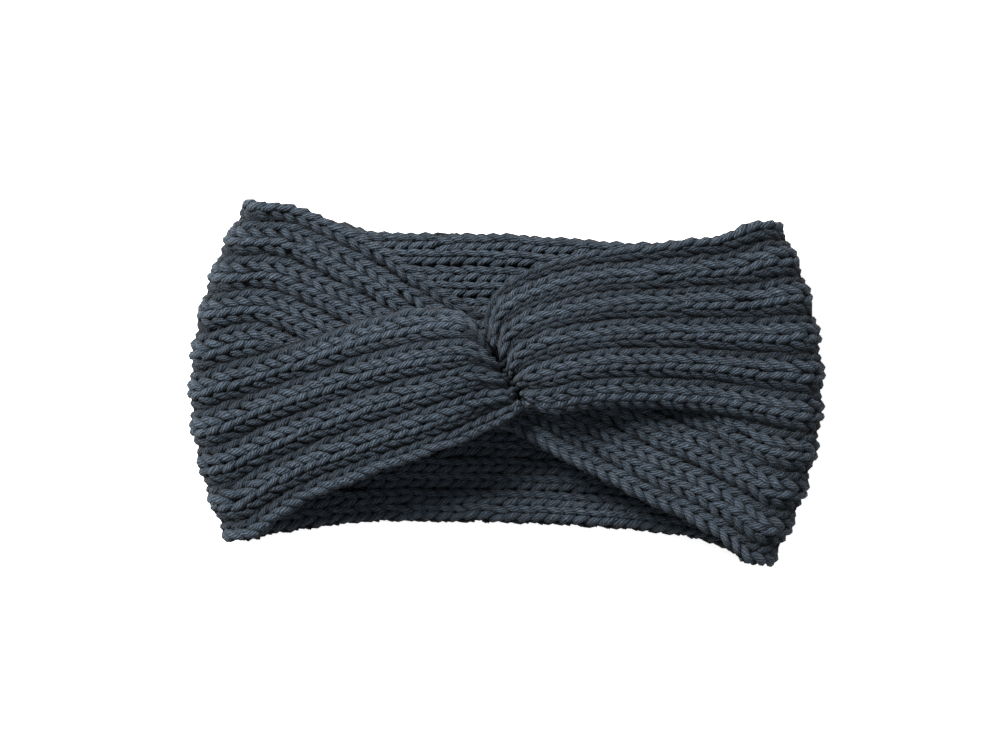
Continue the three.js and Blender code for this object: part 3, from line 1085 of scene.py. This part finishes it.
@dataclass
class KnitCore:
    """The middle of the wall: a sheet that keeps light from passing between the stitches, dark
    with painted shade.
    """

    grid: KnitGrid
    material: Material
    columns: int = 36
    lines_per_row: int = 2
    end_margin: float = 0.3
    edge_margin: float = 0.015

    def build(self, knit: list[Object]) -> Object:
        """Args:
            knit: the pieces of yarn that are on it. It is not used.

        Returns:
            The piece.
        """
        grid = self.grid
        last = grid.rows - self.end_margin
        rows = np.linspace(self.end_margin, last, self.lines_per_row * grid.rows)
        shares = np.linspace(self.edge_margin, 1 - self.edge_margin, self.columns + 1)
        row, share = np.meshgrid(rows, shares, indexing="ij")
        points = grid.read(grid.points, row, share)
        wide = self.columns + 1
        a = (np.arange(len(rows) - 1)[:, None] * wide + np.arange(self.columns)).ravel()
        quads = np.stack([a, a + 1, a + wide + 1, a + wide], axis=1)
        piece = mesh_piece("knit_core", points.reshape(-1, 3), quads)
        piece.data.materials.append(self.material)
        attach(piece, "root")
        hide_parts("knit_band")
        return piece


@dataclass
class SeamStitches:
    """The yarn that sews the two crossed ends together, over and over along the crease."""

    sizes: StripSizes
    material: Material
    stitches: int = 5
    points_per_stitch: int = 12
    sides: int = 8
    radius: float = 0.9 * MM
    looseness: float = 0.2 * MM
    length_share: float = 0.9
    end_taper: float = 0.05
    sunk_radii: float = 2

    def build(self) -> Object:
        """Winds the sewing yarn along the crease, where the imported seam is.

        Returns:
            The piece.
        """
        low, high = (Vector(corner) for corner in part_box("twist_seam"))
        top, foot = np.array(self.sizes.crease_top), np.array(self.sizes.crease_foot)
        up = (top - foot) / np.linalg.norm(top - foot)
        across = np.array([up[1], -up[0]])
        centre, height = (low + high) / 2, high.z - low.z
        length = (high.y - low.y) / up[1] * self.length_share
        t = np.linspace(0, 1, self.stitches * self.points_per_stitch + 1)
        angle = t * self.stitches * 2 * math.pi
        flat = np.array(centre.xy) + np.outer((t - 0.5) * length, up)
        flat += np.outer(np.cos(angle) * (self.sizes.seam_thickness / 2 + self.looseness), across)
        level = centre.z + np.sin(angle) * (height / 2 - self.radius)
        line = np.column_stack([flat, level])[None]
        outward = line - np.array(centre)
        radius = np.full(line.shape[:2], self.radius)
        radius[:, [0, -1]] = self.radius * self.end_taper
        yarn = YarnLines(line, outward, radius, radius * self.sunk_radii)
        piece = yarn_mesh("seam_stitches", yarn, self.sides, False)
        piece.data.materials.append(self.material)
        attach(piece, "root")
        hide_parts("twist_seam")
        return piece


@dataclass(frozen=True)
class Lamp:
    """A soft square area light that looks at the headband: its side in metres, power in watts."""

    name: str
    place: tuple[float, float, float]
    size: float
    power: float

    def build(self) -> None:
        """Adds the light."""
        light = bpy.data.lights.new(self.name, "AREA")
        light.size = self.size
        light.energy = self.power
        holder = bpy.data.objects.new(self.name, light)
        holder.location = self.place
        holder.rotation_euler = (-Vector(self.place)).to_track_quat("-Z", "Y").to_euler()
        bpy.context.scene.collection.objects.link(holder)


@dataclass
class Studio:
    """A plain pale floor, soft light from the top left, and the camera straight above."""

    distance: float = 1.5
    view_width: float = 343 * MM
    aim: tuple[float, float] = (-2.2 * MM, 3.3 * MM)
    look_height: float = 13 * MM
    sensor_width: float = 36
    clip_end: float = 20
    floor_half: float = 1.6
    floor_colour: Colour = (0.93, 0.93, 0.93, 1)
    floor_roughness: float = 0.9
    floor_glow: float = 0.75
    white: Colour = (1, 1, 1, 1)
    room_glow: float = 0.23
    lamps: tuple[Lamp, ...] = (
        Lamp("key", (-0.85, 1.1, 1.05), 0.7, 86),
        Lamp("fill", (0.9, -0.5, 1.3), 1.2, 5),
    )

    def floor(self) -> None:
        """Makes the floor that the headband lies on."""
        corners = [(-1, -1, 0), (1, -1, 0), (1, 1, 0), (-1, 1, 0)]
        points = np.array(corners) * self.floor_half
        piece = mesh_piece("floor", points, np.array([[0, 1, 2, 3]]))
        inputs = {"Base Color": self.floor_colour, "Roughness": self.floor_roughness}
        inputs |= {"Emission Color": self.white, "Emission Strength": self.floor_glow}
        material, _ = new_material("pale_floor", inputs)
        piece.data.materials.append(material)

    def camera(self) -> None:
        """Puts the camera straight above, with the photo's framing."""
        lens = bpy.data.cameras.new("view_from_above")
        lens.sensor_width = self.sensor_width
        lens.lens = self.sensor_width * (self.distance - self.look_height) / self.view_width
        lens.clip_end = self.clip_end
        holder = bpy.data.objects.new("view_from_above", lens)
        holder.location = (*self.aim, self.distance)
        bpy.context.scene.collection.objects.link(holder)
        bpy.context.scene.camera = holder

    def build(self) -> None:
        """Sets the whole studio."""
        self.floor()
        for lamp in self.lamps:
            lamp.build()
        self.camera()
        scene = bpy.context.scene
        scene.view_settings.view_transform = "Standard"
        world = bpy.data.worlds.new("soft_room")
        world.use_nodes = True
        background = world.node_tree.nodes["Background"]
        background.inputs["Color"].default_value = self.white
        background.inputs["Strength"].default_value = self.room_glow
        scene.world = world


def main() -> None:
    """Builds every piece in order."""
    logging.basicConfig(level=logging.INFO, format="%(message)s")
    grid = KnitGrid(Strip())
    log.info("strip %.0f mm long, %d courses", grid.length / MM, grid.rows)
    Studio().build()
    yarn = YarnFinish().build()
    knit = RibKnit(grid, yarn).build()
    core = KnitCore(grid, CoreFinish().build()).build(knit)
    seam = SeamStitches(grid.strip.sizes, yarn).build()
    for piece in (*knit, core, seam):
        log.info("%s: %d faces", piece.name, len(piece.data.polygons))


if __name__ == "__main__":
    main()
